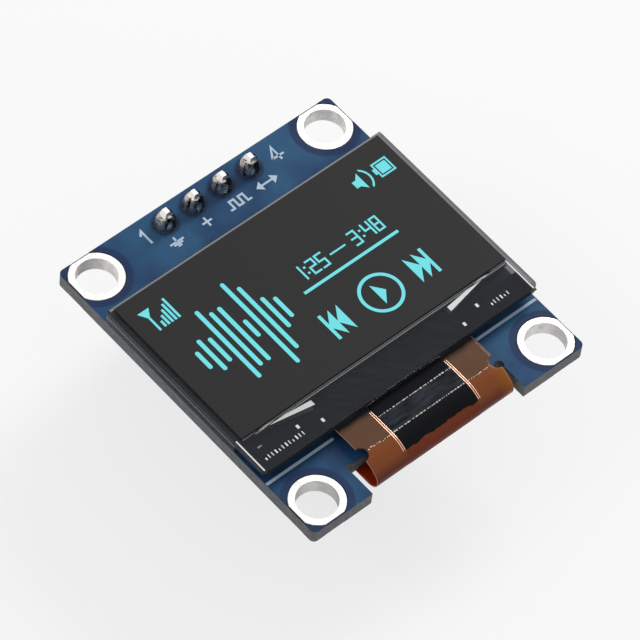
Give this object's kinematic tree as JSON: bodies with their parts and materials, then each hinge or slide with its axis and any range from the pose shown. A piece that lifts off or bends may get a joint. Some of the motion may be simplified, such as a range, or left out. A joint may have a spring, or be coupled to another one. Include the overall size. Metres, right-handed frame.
{
  "type": "small oled display module",
  "caption": "Small glass display panel with a folded film, on a blue circuit board with plated corner holes and a pin header on its back.",
  "frame": {"origin": "centre of the four mounting holes, on the board's back face", "axes": "+Z out of the screen along the mounting holes, +Y towards the pin header, +X to the right"},
  "size_m": [0.0248, 0.0268, 0.0113],
  "materials": {
    "laminate": "glass-fibre laminate, sawn grey-green edge",
    "solder_mask": "blue solder mask, semi-gloss",
    "tinned_pad": "hot-levelled tin on copper, bright",
    "header_plastic": "moulded black nylon",
    "pin_metal": "bright plated square pins",
    "solder": "solder, smooth and shiny",
    "foam": "thin black foam tape",
    "glass": "clear soda-lime glass, cut edges",
    "dryer": "white drying patch",
    "seal": "clear cured resin seal",
    "pixels": "dark thin-film pixel stack",
    "polariser": "dark grey polarising film, semi-gloss",
    "glass_metal": "thin metal tracks on glass",
    "bond": "conductive bonding film, grey",
    "film": "amber-brown polyimide film, glossy",
    "coating": "black light-blocking coating",
    "copper": "thin copper lines under a clear cover",
    "silicon": "bare silicon, dark grey",
    "resin": "black underfill resin",
    "moulded": "black moulded epoxy with tinned leads",
    "resistor": "black chip resistor with tinned ends",
    "capacitor": "tan ceramic chip with tinned ends",
    "lit_pixels": "lit pale cyan pixels"
  },
  "bodies": {
    "root": {"laminate": "laminate", "solder_mask_front": "solder_mask", "solder_mask_back": "solder_mask", "pin_hole_plating": "tinned_pad", "header_strip": "header_plastic", "header_pins": "pin_metal", "pin_solder": "solder", "foam_tape": "foam", "rear_glass": "glass", "drying_patch": "dryer", "glass_seal": "seal", "pixel_layer": "pixels", "front_glass": "glass", "polariser": "polariser", "lit_waveform": "lit_pixels", "lit_progress_line": "lit_pixels", "lit_player_keys": "lit_pixels", "lit_status_icons": "lit_pixels", "glass_traces": "glass_metal", "bonding_strip": "bond", "film": "film", "chip_coating": "coating", "guard_line_left": "copper", "guard_line_right": "copper", "fold_traces": "copper", "driver_chip": "silicon", "chip_resin": "resin", "tail_solder": "solder", "voltage_regulator": "moulded", "diode": "moulded", "component_solder": "solder", "hole_plating_1": "tinned_pad", "hole_plating_2": "tinned_pad", "hole_plating_3": "tinned_pad", "hole_plating_4": "tinned_pad", "resistor_1": "resistor", "resistor_2": "resistor", "resistor_3": "resistor", "resistor_4": "resistor", "resistor_5": "resistor", "resistor_6": "resistor", "resistor_7": "resistor", "resistor_8": "resistor", "capacitor_1": "capacitor", "capacitor_2": "capacitor", "capacitor_3": "capacitor", "capacitor_4": "capacitor", "capacitor_5": "capacitor", "capacitor_6": "capacitor", "capacitor_7": "capacitor"}
  },
  "joints": []
}
